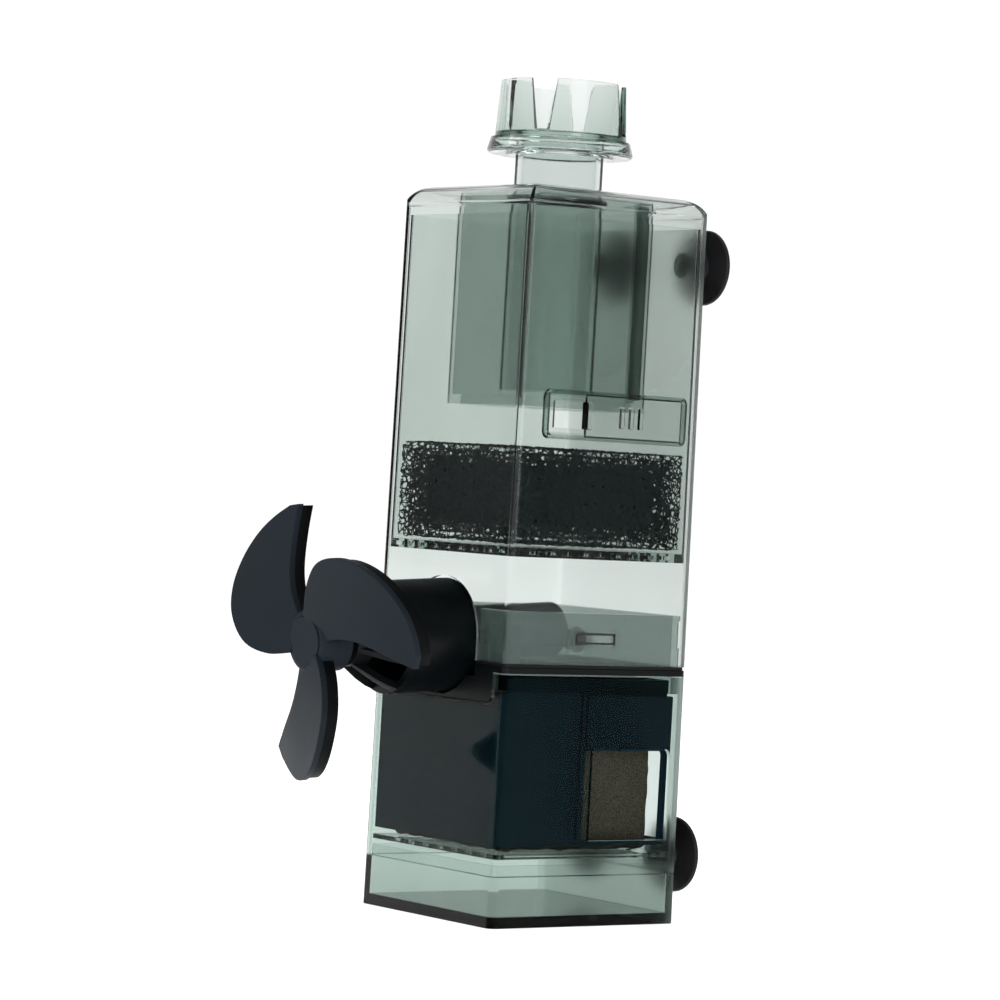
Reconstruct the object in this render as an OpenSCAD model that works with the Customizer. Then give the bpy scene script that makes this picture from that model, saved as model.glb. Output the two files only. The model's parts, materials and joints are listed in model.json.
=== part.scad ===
/* [Body] */
// Width of the body at its base, side to side
body_w = 73.2; // [72:0.2:76]
// Depth of the body at its base, front to back
body_d = 79; // [78:0.2:82]
// Height of the body without the skimmer
body_h = 246; // [244:1:256]
// Draft of the outer walls, in degrees
draft = 0.25; // [0.1:0.05:0.3]
// Wall thickness of the clear shells
wall = 1.6; // [1.5:0.1:1.8]
// Radius of the upright corners
corner_r = 2.4; // [2:0.1:3]
// Radius of the rounded edges round the top of the sleeve
top_r = 8; // [6:0.5:10]

/* [Lower casing] */
// Height of the dirt tray
tray_h = 17; // [16:0.5:18]
// Thickness of the tray's floor
tray_floor = 3.6; // [3:0.1:4]
// Height of the motor carrier's flange above the base
flange_z = 84; // [83:0.5:85]
// Height of the top of the inner neck
neck_top = 104.5; // [103:0.5:106]
// Inset of the neck from the outer face
neck_inset = 2.3; // [2.2:0.1:2.5]

/* [Media basket] */
// Underside of the basket's slotted floor
basket_z = 122.5; // [121:0.5:124]
// Thickness of the slotted floor
basket_floor = 3; // [2.6:0.1:3.4]
// Wall thickness of the basket
basket_wall = 1; // [1:0.1:1.4]
// Height of the upper sponge
sponge_h = 34; // [30:0.5:36]

/* [Skimmer] */
// Outer radius of the skimmer's sliding tube
tube_r = 15; // [14.5:0.1:15.5]
// Outer radius of the skimmer's collar
collar_r = 25; // [24:0.2:26]
// Height of the crown above the collar
crown_h = 19.2; // [18:0.2:22]
// Side of the square skimmer chamber
chamber_w = 48; // [46:0.5:49]

/* [Motor pod] */
// Height of the pod's tilt axis
pod_z = 95; // [94.5:0.1:95.5]
// How far the pod dips at rest, in degrees
pod_dip = 3.5; // [2:0.5:4]
// Outer radius of the outlet duct
duct_r = 18.9; // [18.5:0.1:19]
// Radius of the rotor shaft
shaft_r = 1.5; // [1.4:0.1:1.6]
// Radius of the propeller over the blade tips
prop_r = 49.1; // [46:0.1:51]
// Number of blades
blades = 3; // [3:1:4]

/* [Suction cups] */
// Radius of a suction cup's lip
cup_r = 13; // [12:0.5:13.5]
// How far a suction cup stands off the back wall
cup_reach = 10.5; // [10:0.5:12]
// Height of the upper pair
cup_top_z = 224; // [215:1:228]
// Height of the lower pair
cup_low_z = 22; // [21.8:0.1:24]
// Half the distance between the two cups of a pair
cup_x = 22.5; // [20:0.5:23]

/* [Hidden] */

$fn = 64;
gap = 0.3;                          // clearance between pieces that slide
eps = 0.01;                         // overshoot of a cutter

smoke = [0.55, 0.62, 0.6, 0.45];    // clear smoky plastic
smoke_dark = [0.14, 0.18, 0.21, 0.8];
black = [0.05, 0.055, 0.06];
charcoal = [0.17, 0.19, 0.21];
steel = [0.75, 0.76, 0.78];

// Heights worked out from the driving sizes
flange_t = 2;
flange_top = flange_z + flange_t;
seal_t = 1.2;
sleeve_z = flange_top + seal_t;
liner_z = 26.5;                     // bottom of the strainer basket
sponge_low_z = 24.2;                // bottom of the lower sponge
liner_top = flange_z - 1.5;
liner_t = 1.2;
sponge_z = basket_z + basket_floor + gap;
basket_top = body_h - top_r - 2;
chamber_z = 172.5;
chamber_top = body_h - wall;
collar_z = body_h + 12;             // underside of the skimmer's collar
collar_t = 6;
tube_z = 178;                       // lower end of the skimmer's tube

// Window and shutter on the right side of the sleeve
window_z = 170.2;                   // centre height of the window
window_y = 1.2;                     // centre of the window along the depth
window_w = 60.5;
window_h = 16.5;
frame_t = 1.8;                      // how far the frame stands proud
rim_w = 1.6;                        // width of the frame's rim
shutter_w = 41;
shutter_t = 1;

// Intake window and gate on the right side of the lower casing
intake_y0 = 0;
intake_y1 = 34;
intake_z0 = 28.5;
intake_z1 = 59.5;
gate_t = 1;
gate_h = 18.6;

// Motor pod, measured along its axis from the tilt pivot
pivot_y = -32.8;
duct_rear = 3.5;
duct_mouth = 28.4;
duct_wall = 1.9;
can_r = 9.2;
can_rear = -38;
can_front = 8;
cap_t = 2.4;
magnet_r = 3.6;
guard_top = 46.2;
guard_ribs = 8;
hub_rear = 48.8;
hub_front = 61.4;
hub_r = 10.3;
pin_r = 1.9;                        // trunnion pins of the pod
pin_x = 26;
notch_r = duct_r + 1;               // opening round the duct in the front walls
notch_z = pod_z - (body_d / 2 + pivot_y) * tan(pod_dip);

gland_r = 3.6;
gland_x = -24;                      // cable gland, beside one latch
gland_z = sleeve_z + 5.5;            // height of the cable gland

// Half sizes of the outer body at height z
function half_x(z) = body_w / 2 - z * tan(draft);
function half_y(z) = body_d / 2 - z * tan(draft);

module rounded(w, d, r) {
    square([w - 2 * r, d], center = true);
    square([w, d - 2 * r], center = true);
    for (x = [-1, 1], y = [-1, 1])
        translate([x * (w / 2 - r), y * (d / 2 - r)]) circle(r = r, $fn = 24);
}

// A block that follows the drafted outer walls, set in by inset
module tapered(z0, z1, inset, r) {
    w0 = 2 * (half_x(z0) - inset);
    d0 = 2 * (half_y(z0) - inset);
    w1 = 2 * (half_x(z1) - inset);
    d1 = 2 * (half_y(z1) - inset);
    translate([0, 0, z0])
        linear_extrude(height = z1 - z0, scale = [w1 / w0, d1 / d0], slices = 1, $fn = 12) rounded(w0, d0, r);
}

// A wide drafted slab whose two upper edges are rounded, seen along Y
module arch(half, top, r, bottom) {
    rotate([90, 0, 0])
        linear_extrude(height = 2 * body_d, center = true) {
            low = half + (top - bottom) * tan(draft);
            shoulder = half + r * tan(draft);
            polygon([[-low, bottom], [low, bottom], [shoulder, top - r], [-shoulder, top - r]]);
            translate([r - shoulder, bottom]) square([2 * (shoulder - r), top - bottom]);
            for (x = [-1, 1]) translate([x * (shoulder - r), top - r]) circle(r = r);
        }
}

// The drafted block with its top edges rounded all round
module hood_form(z0, top, inset, r_up, r_top) {
    intersection() {
        tapered(z0, top + 1, inset, r_up);
        arch(half_x(top) - inset, top, r_top, z0 - 1);
        rotate([0, 0, 90]) arch(half_y(top) - inset, top, r_top, z0 - 1);
    }
}

// Local frame of the motor pod: +Z runs out of the duct
module pod_frame() {
    translate([0, pivot_y, pod_z]) rotate([90 + pod_dip, 0, 0]) children();
}

module ring(z0, z1, r_out, r_in) {
    translate([0, 0, z0]) difference() {
        cylinder(h = z1 - z0, r = r_out);
        translate([0, 0, -1]) cylinder(h = z1 - z0 + 2, r = r_in);
    }
}

// Round opening in the front walls with a straight way down or up
module duct_notch(depth_in, down) {
    translate([0, -body_d / 2 - 5, notch_z]) rotate([-90, 0, 0]) cylinder(h = depth_in + 5, r = notch_r);
    z_low = down ? flange_z - 2 : notch_z;
    z_high = down ? notch_z : neck_top + 5;
    translate([-notch_r, -body_d / 2 - 5, z_low]) cube([2 * notch_r, depth_in + 5, z_high - z_low]);
}

// Boss on the back wall with a blind socket for a suction cup's stem
boss_r = 4.4;
boss_h = 4;
stem_r = 3.4;
module cup_boss(x, z) {
    translate([x, half_y(z) - wall / 2, z]) rotate([-90, 0, 0]) cylinder(h = boss_h + wall / 2, r = boss_r);
}

module cup_socket(x, z) {
    translate([x, half_y(z) + 0.4, z]) rotate([-90, 0, 0]) cylinder(h = boss_h + 1, r = stem_r);
}

// Skirt of the carrier that closes the front notch of the casing
skirt_x0 = -33;
skirt_x1 = 30;
skirt_z = 74;
module skirt_form(grow, y0, y1) {
    r = 3;
    translate([0, y1, 0]) rotate([90, 0, 0]) linear_extrude(height = y1 - y0) {
        translate([skirt_x0 - grow + r, skirt_z - grow])
            square([skirt_x1 - skirt_x0 + 2 * grow - 2 * r, flange_z - skirt_z + grow + eps]);
        translate([skirt_x0 - grow, skirt_z - grow + r])
            square([skirt_x1 - skirt_x0 + 2 * grow, flange_z - skirt_z + grow - r + eps]);
        for (x = [skirt_x0 - grow + r, skirt_x1 + grow - r])
            translate([x, skirt_z - grow + r]) circle(r = r, $fn = 32);
    }
}

latch_w = 17;
latch_z0 = 94;
latch_z1 = 98;
module latch_cut(side, grow) {
    x = half_x(latch_z0) - neck_inset;
    translate([side > 0 ? x - wall - 2 : -x - 2, -latch_w / 2 - grow, latch_z0 - grow])
        cube([wall + 4, latch_w + 2 * grow, latch_z1 - latch_z0 + 2 * grow]);
}

module lower_casing() {
    color(smoke) difference() {
        union() {
            tapered(tray_h, flange_z, 0, corner_r);
            tapered(flange_z - 6, neck_top, neck_inset, 2);
            tapered(flange_top + seal_t, 93.5, neck_inset - 0.35, 2);
            tapered(neck_top - 1.6, neck_top, neck_inset - 0.35, 2);
            for (x = [-1, 1]) cup_boss(x * cup_x, cup_low_z);
        }
        tapered(tray_h - 1, flange_z - 6, wall + 0.2, 1.2);
        tapered(flange_z - 7, neck_top + 1, neck_inset + wall, 1.2);
        skirt_form(0.25, -body_d / 2 - 2, -body_d / 2 + neck_inset + wall + 1);
        duct_notch(neck_inset + wall + 3, false);
        carrier_cut(0.2);
        bridge_cuts();
        for (side = [-1, 1]) latch_cut(side, 0.3);
        for (x = [-1, 1]) cup_socket(x * cup_x, cup_low_z);
        intake_cut(3);
        translate([gland_x, body_d / 2 - 9, gland_z]) rotate([-90, 0, 0]) cylinder(h = 12, r = gland_r);
    }
}

// Notches in the neck where the flange's bridges cross it
module bridge_cuts() {
    intersection() {
        flange_bridges(0.25);
        translate([-60, -60, flange_z - eps]) cube([120, 120, flange_t + 0.2]);
    }
}

// Slot all round the neck where the carrier's flange passes through
module carrier_cut(grow) {
    difference() {
        translate([0, 0, flange_z - eps]) linear_extrude(height = flange_t + grow) square([90, 90], center = true);
        tapered(flange_z - 1, flange_top + 2, neck_inset - eps, 2);
    }
}

module intake_cut(r) {
    translate([body_w / 2 - 8, 0, 0]) rotate([90, 0, 90]) linear_extrude(height = 12) {
        translate([intake_y0, intake_z0]) square([intake_y1 - intake_y0 - r, intake_z1 - intake_z0]);
        translate([intake_y0, intake_z0]) square([intake_y1 - intake_y0, intake_z1 - intake_z0 - r]);
        translate([intake_y1 - r, intake_z1 - r]) circle(r = r, $fn = 32);
    }
}

// Dark liner inside the lower casing, open at the bottom and with a window at the back
module strainer_basket() {
    inset = neck_inset + wall + 0.3;
    w = 2 * (half_x(liner_top) - inset);
    d = 2 * (half_y(liner_top) - inset);
    // Below the neck the liner widens on three sides; the gate needs the room on the fourth
    step_z = flange_z - 7;
    wide = half_x(step_z) - wall - 0.5 - w / 2;
    color(smoke_dark) difference() {
        union() {
            translate([0, 0, step_z - liner_t]) linear_extrude(height = liner_top - step_z + liner_t) difference() {
                rounded(w, d, 1.6);
                rounded(w - 2 * liner_t, d - 2 * liner_t, 1);
            }
            translate([-wide / 2, 0, liner_z]) linear_extrude(height = step_z - liner_z) difference() {
                rounded(w + wide, d + 2 * wide, 1.6);
                rounded(w + wide - 2 * liner_t, d + 2 * wide - 2 * liner_t, 1);
            }
            translate([-wide / 2, 0, step_z - liner_t]) linear_extrude(height = liner_t) difference() {
                rounded(w + wide, d + 2 * wide, 1.6);
                translate([wide / 2, 0]) rounded(w - 2 * liner_t, d - 2 * liner_t, 1);
            }
            for (y = [intake_y0 - 3.2, intake_y1 + 0.4])
                translate([w / 2 - 1, y, intake_z0]) cube([2.6, 1.1, flange_z - 7 - intake_z0]);
        }
        intake_cut(3);
        translate([-28, body_d / 2 - 12, intake_z0]) cube([57.5, 12, intake_z1 - intake_z0]);
        // Room for the carrier's skirt and the duct
        translate([skirt_x0 - 1.5, -body_d / 2, skirt_z - 1.5]) cube([skirt_x1 - skirt_x0 + 3, 9, 20]);
    }
}

// Clear slotted floor that the lower sponge stands on
module strainer_floor() {
    color(smoke) difference() {
        tapered(sponge_low_z - 1.7, sponge_low_z - 0.1, wall + 0.5, 1.2);
        for (i = [-3:3])
            translate([i * 8 - 1.6, -30, sponge_low_z - 3]) cube([3.2, 60, 4]);
    }
}

module lower_sponge() {
    color([0.35, 0.31, 0.24]) translate([-29.5, -33, sponge_low_z]) cube([59, 65, 71.5 - sponge_low_z]);
}

gate_x = half_x(intake_z1) - wall - 0.5 - gate_t;
module intake_gate() {
    color(smoke_dark) {
        translate([gate_x, intake_y0 - 1.5, intake_z1 - 1]) cube([gate_t, intake_y1 - intake_y0 + 1.5, gate_h]);
        translate([gate_x + gate_t - eps, 12, intake_z1 - 1]) cube([1.9, 10, 0.9]);
    }
}

module bottom_tray() {
    tray_wall = 2.6;
    color(smoke) {
        difference() {
            tapered(0, tray_h - 0.15, 0, corner_r);
            tapered(tray_floor, tray_h + 1, tray_wall, 1.4);
        }
        // Lip that plugs up into the casing
        difference() {
            tapered(tray_h - 3, tray_h + 3.5, wall + 0.5, 1.4);
            tapered(tray_h - 4, tray_h + 4.5, tray_wall, 1);
        }
    }
}

module motor_carrier() {
    color(black) difference() {
        union() {
            intersection() {
                tapered(skirt_z - 1, flange_top, 0, corner_r);
                union() {
                    skirt_form(0, -body_d / 2 - 1, -body_d / 2 + 3.2);
                    translate([-60, -60, flange_z]) cube([120, 120, 10]);
                }
            }
            // Cheeks that hold the pod's trunnion pins
            for (x = [-1, 1])
                translate([x * 24 - 2, pivot_y - 1.9, flange_z]) cube([4, 9, pod_z - flange_z + 5]);
        }
        translate([-21.5, -body_d / 2 + 3.2, flange_z - 1]) cube([43, 45, 5]);
        for (i = [-3:3]) translate([i * 8 - 2, 13.5, flange_z - 1]) cube([4, 18, 5]);
        for (x = [-1, 1]) translate([x * 30 - 1.5, -22, flange_z - 1]) cube([3, 30, 5]);
        neck_slots();
        duct_notch(21, true);
        translate([-pin_x - 4, pivot_y, pod_z]) rotate([0, 90, 0]) cylinder(h = 2 * pin_x + 8, r = pin_r + 0.05);
    }
}

// Slots in the flange that the casing's neck stands through, three sides of it
module bridge(x, y, w, d, grow) {
    translate([x - w / 2 - grow, y - d / 2 - grow, flange_z - 3]) cube([w + 2 * grow, d + 2 * grow, 8]);
}

module flange_bridges(grow) {
    for (x = [-1, 1], y = [-9, 17]) bridge(x * 33.5, y, 8, 6, grow);
    bridge(0, 36, 16, 12, grow);
    bridge(0, -38, 60, 8, grow);
}

module neck_slots() {
    difference() {
        tapered(flange_z - 1, flange_top + 1, neck_inset - 0.2, 2);
        tapered(flange_z - 2, flange_top + 2, neck_inset + wall + 0.2, 1.2);
        flange_bridges(0);
    }
}

module carrier_seal() {
    color(black) difference() {
        tapered(flange_top, sleeve_z - 0.05, 0.5, 2);
        tapered(flange_top - 1, sleeve_z + 1, neck_inset - 0.1, 2);
        duct_notch(12, true);
        translate([-notch_r, -body_d / 2 - 5, flange_z]) cube([2 * notch_r, 20, 12]);
    }
}

module cable_gland() {
    color(black) translate([gland_x, half_y(flange_z) - 5, gland_z]) rotate([-90, 0, 0]) difference() {
        union() {
            cylinder(h = 8, r = gland_r - 0.02);
            translate([0, 0, 3.3]) cylinder(h = 1.5, r = gland_r + 1);
        }
        translate([0, 0, 2]) cylinder(h = 8, r = 2.4);
    }
}

module latch(side) {
    x = half_x(latch_z0) - neck_inset;
    color(smoke) translate([0, -latch_w / 2, 0]) {
        translate([side > 0 ? x - wall - 0.1 : -x + 0.1, 0, latch_z0]) cube([wall, latch_w, latch_z1 - latch_z0]);
        translate([side > 0 ? x - wall - 1.5 : -x + wall + 0.3, -1, latch_z0 - 0.9])
            cube([1.2, latch_w + 2, latch_z1 - latch_z0 + 1.8]);
        translate([side > 0 ? x - wall - 0.6 : -x + wall - 0.5, 1, latch_z0 + 0.4]) cube([1.2, latch_w - 2, 3.2]);
    }
}

module latch_left() { latch(-1); }
module latch_right() { latch(1); }

module window_cut(grow) {
    translate([half_x(window_z) - 6, window_y - window_w / 2 + 5 - grow, window_z - 4.5 - grow])
        cube([10, 13 + 2 * grow, 9 + 2 * grow]);
}

module outer_sleeve() {
    color(smoke) difference() {
        union() {
            hood_form(sleeve_z, body_h, 0, corner_r, top_r);
            for (x = [-1, 1]) cup_boss(x * cup_x, cup_top_z);
        }
        hood_form(sleeve_z - 1, body_h - wall, wall, corner_r - 1, top_r - wall);
        translate([0, 0, body_h - 20]) cylinder(h = 30, r = tube_r + 1.9);
        duct_notch(4, true);
        translate([-notch_r, -body_d / 2 - 5, sleeve_z - 2]) cube([2 * notch_r, 10, pod_z - sleeve_z + 2]);
        window_cut(0);
        for (x = [-1, 1]) cup_socket(x * cup_x, cup_top_z);
        translate([gland_x - gland_r - 1.4, body_d / 2 - 5, sleeve_z - 1])
            cube([2 * gland_r + 2.8, 10, gland_z - sleeve_z + gland_r + 2.4]);
    }
}

module skimmer_chamber() {
    chamber_t = 1.5;
    color(smoke) {
        translate([0, 0, chamber_z]) linear_extrude(height = chamber_top - chamber_z) difference() {
            rounded(chamber_w, chamber_w, 3);
            rounded(chamber_w - 2 * chamber_t, chamber_w - 2 * chamber_t, 1.6);
        }
        translate([0, 0, chamber_z]) linear_extrude(height = 3.2) difference() {
            rounded(chamber_w, chamber_w, 3);
            rounded(chamber_w - 7, chamber_w - 7, 1.6);
        }
        // Solid post in the rear corner beside the window
        translate([chamber_w / 2 - 5.5, chamber_w / 2 - 5.5, chamber_z + 3]) cube([4.5, 4.5, chamber_top - chamber_z - 3]);
    }
}

module shutter_frame() {
    x = half_x(window_z);
    color(smoke) difference() {
        translate([x - 0.1, window_y, window_z]) rotate([90, 0, 90]) linear_extrude(height = frame_t) difference() {
            rounded(window_w, window_h, 2.5);
            rounded(window_w - 2 * rim_w, window_h - 2 * rim_w, 1.2);
        }
        // Grooves for the shutter's long edges
        translate([x + 0.15, window_y - window_w / 2 + rim_w - 0.05, window_z - window_h / 2 + rim_w - 0.9])
            cube([shutter_t + 0.3, window_w - 2 * rim_w + 0.1, window_h - 2 * rim_w + 1.8]);
    }
}

module flow_shutter() {
    x = half_x(window_z) + 0.25;
    y1 = window_y + window_w / 2 - rim_w - 0.3;
    h = window_h - 2 * rim_w + 1.2;
    color(smoke) {
        translate([x, y1 - shutter_w, window_z - h / 2]) cube([shutter_t, shutter_w, h]);
        // Finger grip: three short bars and a thumb rest
        for (i = [0:2])
            translate([x + shutter_t - eps, y1 - 27 + i * 4, window_z - 3.5]) cube([1.2, 1.6, 7]);
        translate([x + shutter_t - eps, y1 - shutter_w, window_z - 4.5]) cube([0.9, 1.8, 9]);
    }
}

module tube_seal() {
    color(black) translate([0, 0, body_h - 3]) rotate_extrude($fn = 96) difference() {
        translate([tube_r + 0.06, 0]) square([1.8, 3.4]);
        translate([tube_r + 0.1 - 0.6, 1.1]) square([0.9, 1.2]);
    }
}

module media_basket() {
    inset = wall + gap;
    color(smoke) difference() {
        tapered(basket_z + basket_floor, basket_top, inset, 1.8);
        tapered(basket_z, basket_top + 3, inset + basket_wall, 1.2);
        window_cut(1.5);
    }
}

module basket_grille() {
    color(smoke) difference() {
        tapered(basket_z, basket_z + basket_floor, wall + gap, 1.8);
        // Slots in rows
        for (i = [-5:5], j = [-2:2])
            translate([i * 5.8 - 1.6, j * 14 - 5.5, basket_z - 1]) cube([3.2, 11, basket_floor + 2]);
        // Notches in the front edge and the side edges
        for (i = [-4:4])
            translate([i * 7 - 1.75, -body_d / 2, basket_z + 0.8]) cube([3.5, 4.6, 1.4]);
        for (x = [-1, 1], i = [-4:4])
            translate([x * half_x(basket_z) - 4.6, i * 7 - 1.75, basket_z + 0.8]) cube([9.2, 3.5, 1.4]);
    }
}

module upper_sponge() {
    inset = wall + gap + basket_wall + 0.2;
    color([0.08, 0.1, 0.11]) tapered(sponge_z, sponge_z + sponge_h, inset, 2);
}

module skimmer_tube() {
    color(smoke) ring(tube_z, collar_z + 3, tube_r, tube_r - 1.6);
}

module skimmer_collar() {
    color(smoke) translate([0, 0, collar_z]) rotate_extrude($fn = 96)
        polygon([[tube_r + 0.03, 0], [tube_r + 3, 0], [tube_r + 4, 1], [collar_r - 0.8, 0.6], [collar_r, 1.6],
                 [collar_r - 1.2, collar_t], [collar_r - 3.2, collar_t], [collar_r - 3.2, collar_t - 1.6],
                 [tube_r - 1.6, collar_t - 1.6], [tube_r - 1.6, 3.05], [tube_r + 0.03, 3.05]]);
}

module skimmer_crown() {
    base_r = 23;
    top_r_crown = 21.4;
    t = 1.6;
    z0 = collar_z + collar_t - 1.5;
    color(smoke) difference() {
        translate([0, 0, z0]) rotate_extrude($fn = 96)
            polygon([[base_r - 1.4, 0], [base_r - 1.4, 1.52], [base_r - 0.5, 1.52], [top_r_crown, crown_h + 1.5], [top_r_crown - t, crown_h + 1.5],
                     [base_r - 1.4 - t - 0.8, 3], [tube_r - 1.6, 3], [tube_r - 1.6, 0]]);
        // Gaps between the prongs, wider at the top
        for (a = [34, 124, 214, 304])
            rotate([90, 0, 90 + a]) translate([0, z0 + 3.5, 10]) linear_extrude(height = 20)
                polygon([[-2.2, 0], [2.2, 0], [4.8, crown_h], [-4.8, crown_h]]);
    }
}

module outlet_duct() {
    color(black) pod_frame() {
        ring(duct_rear, duct_mouth, duct_r, duct_r - duct_wall);
        // Arms back to the trunnion pins
        for (x = [-1, 1]) {
            translate([x * (duct_r - 0.95) - 0.95, -2.8, -3]) cube([1.9, 5.6, duct_rear + 3.4]);
            translate([x * (duct_r - 0.8), 0, 0]) rotate([0, x * 90, 0]) cylinder(h = pin_x - duct_r + 0.6, r = pin_r);
        }
    }
}

// Outline of a rib of the domed guard, radius and height, from the ring to the nose
module guard_profile() {
    polygon([[duct_r - 0.3, duct_mouth + 0.4], [duct_r - 0.3, duct_mouth + 2], [duct_r - 1.6, duct_mouth + 5],
             [duct_r - 4, duct_mouth + 9], [duct_r - 7, duct_mouth + 13], [8.6, guard_top - 0.4],
             [6, guard_top - 0.4], [6, guard_top - 6.4], [duct_r - 9, duct_mouth + 11],
             [duct_r - 5.8, duct_mouth + 7], [duct_r - 2.1, duct_mouth + 0.4]]);
}

module duct_guard() {
    color(black) pod_frame() {
        ring(duct_mouth, duct_mouth + 1.8, duct_r, duct_r - 2.4);
        ring(guard_top - 7, guard_top, 9, 4);
        for (i = [0:guard_ribs - 1])
            rotate([0, 0, i * 360 / guard_ribs + 18]) rotate_extrude(angle = 9, $fn = 96) guard_profile();
    }
}

module motor_can() {
    color(black) pod_frame() {
        difference() {
            translate([0, 0, can_rear]) cylinder(h = can_front - can_rear, r = can_r);
            translate([0, 0, can_rear - 1]) cylinder(h = can_front - can_rear - 0.6, r = can_r - 1.4);
            translate([0, 0, can_rear]) cylinder(h = 60, r = magnet_r + 1.25);
        }
        // Ribs that join the can to the duct
        for (a = [45, 135, 225, 315])
            rotate([0, 0, a]) translate([can_r - 0.5, -1.2, 4]) cube([duct_r - duct_wall - can_r + 0.4, 2.4, 3.6]);
    }
}

module can_cap() {
    color(black) pod_frame() translate([0, 0, can_rear - cap_t]) difference() {
        union() {
            cylinder(h = cap_t, r = can_r);
            cylinder(h = cap_t + 2, r = 5.4);
        }
        translate([0, 0, cap_t - 1.2]) cylinder(h = 10, r = bush_r);
    }
}

module rotor_sleeve() {
    color(charcoal) pod_frame() ring(can_rear + 3.2, can_front + 0.4, magnet_r + 1.2, magnet_r + 0.5);
}

stator_in = 5;
slot_in = 5.7;
module stator_core() {
    color(steel) pod_frame() difference() {
        ring(can_rear + 6, can_front - 6, can_r - 1.5, stator_in);
        for (i = [0:5])
            rotate([0, 0, i * 60]) translate([slot_in, -1.5, can_rear]) cube([1.6, 3, 60]);
    }
}

module stator_coils() {
    color([0.72, 0.4, 0.2]) pod_frame() for (i = [0:5])
        rotate([0, 0, i * 60]) translate([slot_in + 0.05, -1.45, can_rear + 4.6]) cube([1.5, 2.9, can_front - can_rear - 9.2]);
}

bush_r = 3.2;
module rear_bush() {
    color([0.85, 0.85, 0.82]) pod_frame() ring(can_rear - 1.2, can_rear + 3, bush_r, shaft_r + 0.05);
}

module front_bush() {
    color([0.85, 0.85, 0.82]) pod_frame() ring(guard_top - 7, guard_top, 3.98, shaft_r + 0.05);
}

module rotor_magnet() {
    color([0.25, 0.25, 0.27]) pod_frame() ring(can_rear + 4, can_front - 2, magnet_r, shaft_r);
}

module rotor_shaft() {
    color(steel) pod_frame() translate([0, 0, can_rear - 1]) cylinder(h = hub_front - 0.6 - can_rear + 1, r = shaft_r);
}

// Edges of a blade from root to tip, along and across the blade's middle line
blade_trail = [[4.6, -3.2], [8.0, -4.3], [11.4, -5.4], [14.7, -6.8], [17.8, -8.5], [20.8, -10.5], [23.5, -12.8],
    [26.0, -15.4], [28.4, -18.0], [30.8, -20.7], [33.1, -23.4], [35.3, -26.2], [37.6, -29.0]];
blade_lead = [[4.4, 7.6], [9.6, 11.5], [15.3, 14.5], [21.5, 16.2], [27.9, 15.7], [34.0, 13.3], [39.1, 9.4],
    [43.1, 4.3], [45.6, -1.6], [46.8, -8.0], [46.5, -14.4], [44.4, -20.6], [41.2, -26.2]];
blade_rows = len(blade_trail) - 1;
blade_cols = 10;
blade_t = 6.8;
function blade_across(i, u) = (blade_trail[i] + (blade_lead[i] - blade_trail[i]) * u) * prop_r / 49.1;
function blade_rise(a, b) = 0.2 + 0.14 * a + 5.48 * b + 2.28 * a * b + 0.24 * b * b - 0.29 * a * a;
function blade_point(i, j, side) =
    let (p = blade_across(i, j / blade_cols))
    [p[0], p[1], hub_front + blade_rise((p[0] - 25) / 20, p[1] / 20) - (side > 0 ? 0 : blade_t)];
function blade_index(i, j, side) = side * (blade_rows + 1) * (blade_cols + 1) + i * (blade_cols + 1) + j;

module blade() {
    points = [for (s = [1, -1], i = [0:blade_rows], j = [0:blade_cols]) blade_point(i, j, s)];
    front = [for (i = [0:blade_rows - 1], j = [0:blade_cols - 1], k = [0:1])
        k == 0 ? [blade_index(i, j, 0), blade_index(i, j + 1, 0), blade_index(i + 1, j, 0)]
               : [blade_index(i + 1, j, 0), blade_index(i, j + 1, 0), blade_index(i + 1, j + 1, 0)]];
    back = [for (i = [0:blade_rows - 1], j = [0:blade_cols - 1], k = [0:1])
        k == 0 ? [blade_index(i, j, 1), blade_index(i + 1, j, 1), blade_index(i, j + 1, 1)]
               : [blade_index(i + 1, j, 1), blade_index(i + 1, j + 1, 1), blade_index(i, j + 1, 1)]];
    sides = [for (i = [0:blade_rows - 1], e = [0, blade_cols], k = [0:1])
        let (a = blade_index(i, e, 0))
        let (b = blade_index(i + 1, e, 0))
        let (c = blade_index(i, e, 1))
        let (d = blade_index(i + 1, e, 1))
        e == 0 ? (k == 0 ? [a, b, c] : [b, d, c]) : (k == 0 ? [a, c, b] : [b, c, d])];
    ends = [for (j = [0:blade_cols - 1], e = [0, blade_rows], k = [0:1])
        let (a = blade_index(e, j, 0))
        let (b = blade_index(e, j + 1, 0))
        let (c = blade_index(e, j, 1))
        let (d = blade_index(e, j + 1, 1))
        e == 0 ? (k == 0 ? [a, c, b] : [b, c, d]) : (k == 0 ? [a, b, c] : [b, d, c])];
    polyhedron(points = points, faces = concat(front, back, sides, ends), convexity = 6);
}

blade_phase = 150;                  // angle of the first blade's middle line
module propeller() {
    color(charcoal) pod_frame() {
        difference() {
            union() {
                translate([0, 0, hub_rear]) cylinder(h = hub_front - hub_rear, r = hub_r);
                for (i = [0:blades - 1]) rotate([0, 0, blade_phase + i * 360 / blades]) blade();
            }
            translate([0, 0, hub_rear - 1]) cylinder(h = hub_front - hub_rear + 2, r = shaft_r);
            translate([0, 0, hub_front - 1]) cylinder(h = 2, r = hub_r - 2.2);
        }
    }
}

module propeller_cap() {
    color(charcoal) pod_frame() translate([0, 0, hub_front - 1]) difference() {
        cylinder(h = 1.5, r = hub_r - 2.25);
        translate([0, 0, -1]) cylinder(h = 1.4, r = shaft_r + 0.05);
    }
}

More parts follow.
